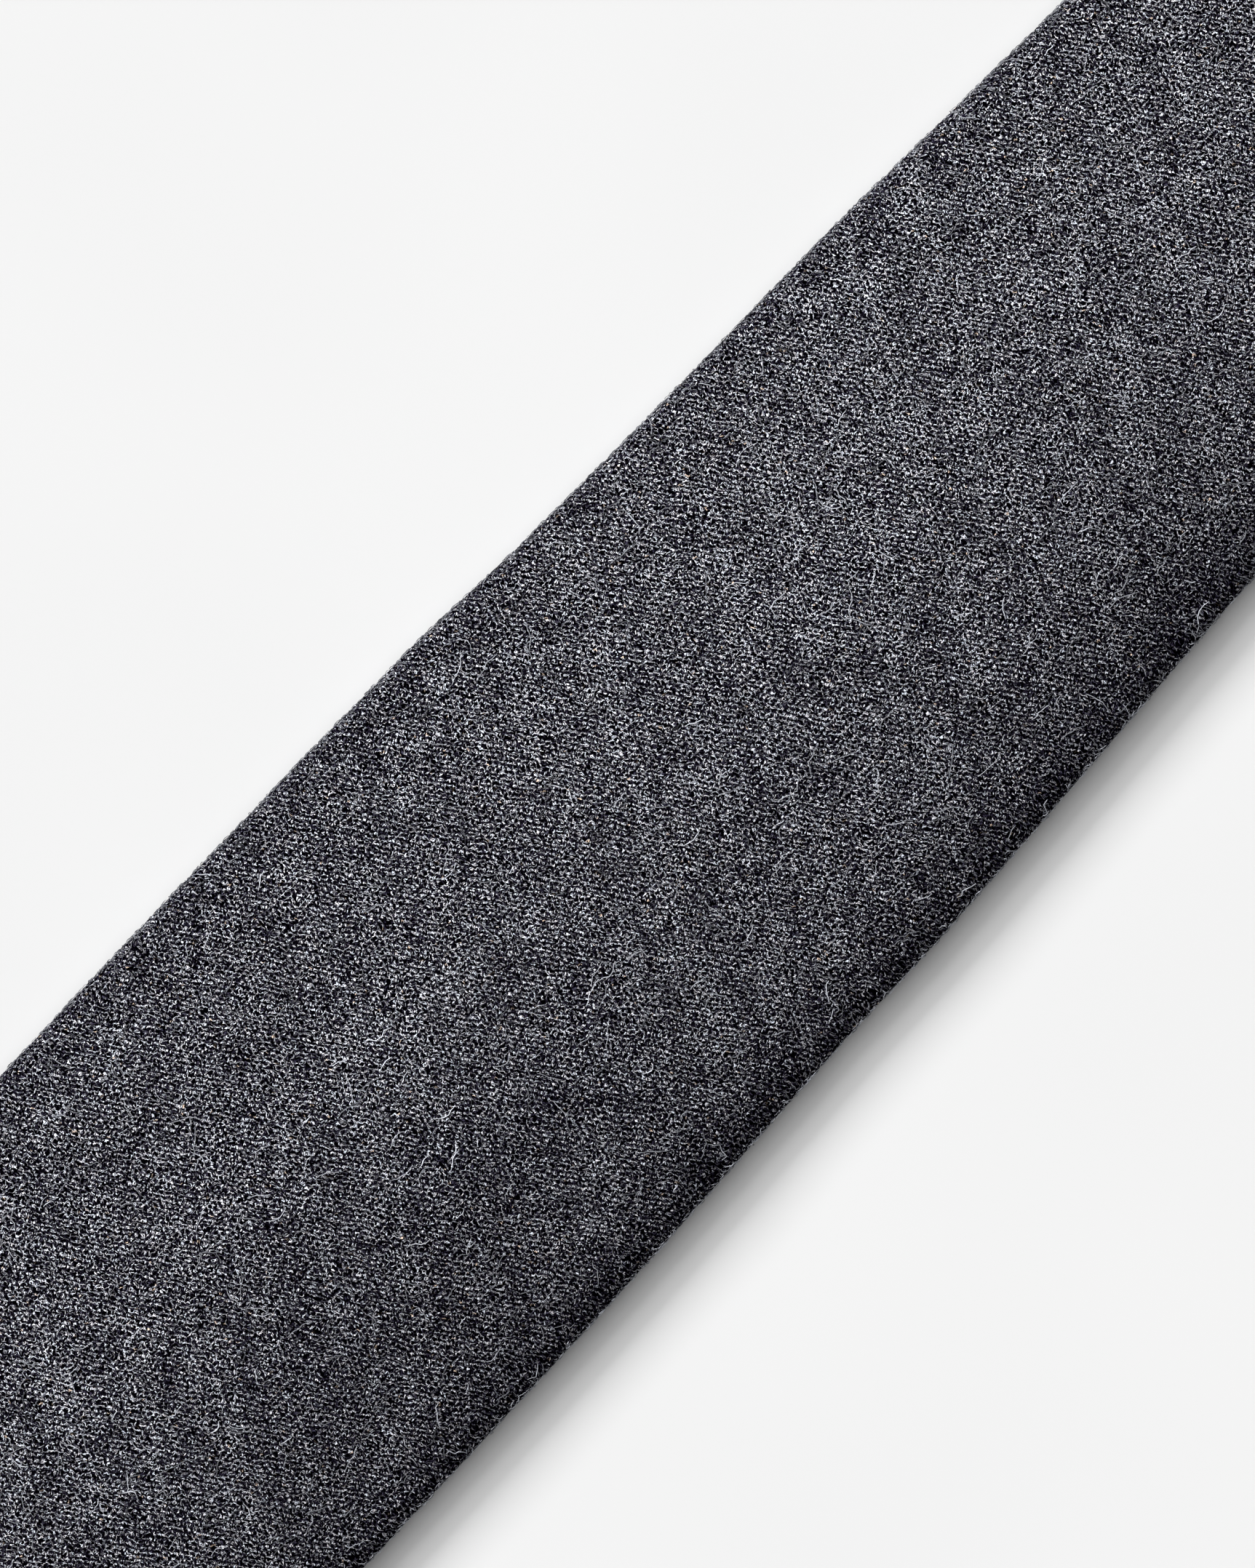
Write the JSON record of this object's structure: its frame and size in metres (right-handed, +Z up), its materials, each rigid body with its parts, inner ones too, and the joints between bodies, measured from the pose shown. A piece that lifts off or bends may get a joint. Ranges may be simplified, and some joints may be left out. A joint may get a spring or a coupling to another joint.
{
  "type": "skinny tie",
  "caption": "Skinny necktie of fuzzy wool twill lying face up, with a pointed blade, a rolled neckband bent in a half turn, a pointed tail and a keeper loop behind.",
  "frame": {"origin": "centre of the underside of the tie's bounding box, on the surface that the tie lies on", "axes": "+Y along the blade from its point towards the neckband, +X from the blade to the tail, +Z up out of the tie's face"},
  "size_m": [0.2194, 0.8002, 0.0299],
  "materials": {
    "wool_twill": "fuzzy charcoal wool twill, woven from light and dark grey fibres, matt",
    "facing": "plain dark facing cloth with a soft sheen",
    "thread": "dark sewing thread"
  },
  "bodies": {
    "root": {"blade_shell": "wool_twill", "neck_shell": "wool_twill", "tail_shell": "wool_twill", "keeper_loop": "wool_twill", "blade_tipping": "facing", "tail_tipping": "facing", "blade_bar_tack": "thread", "tail_bar_tack": "thread"}
  },
  "joints": []
}
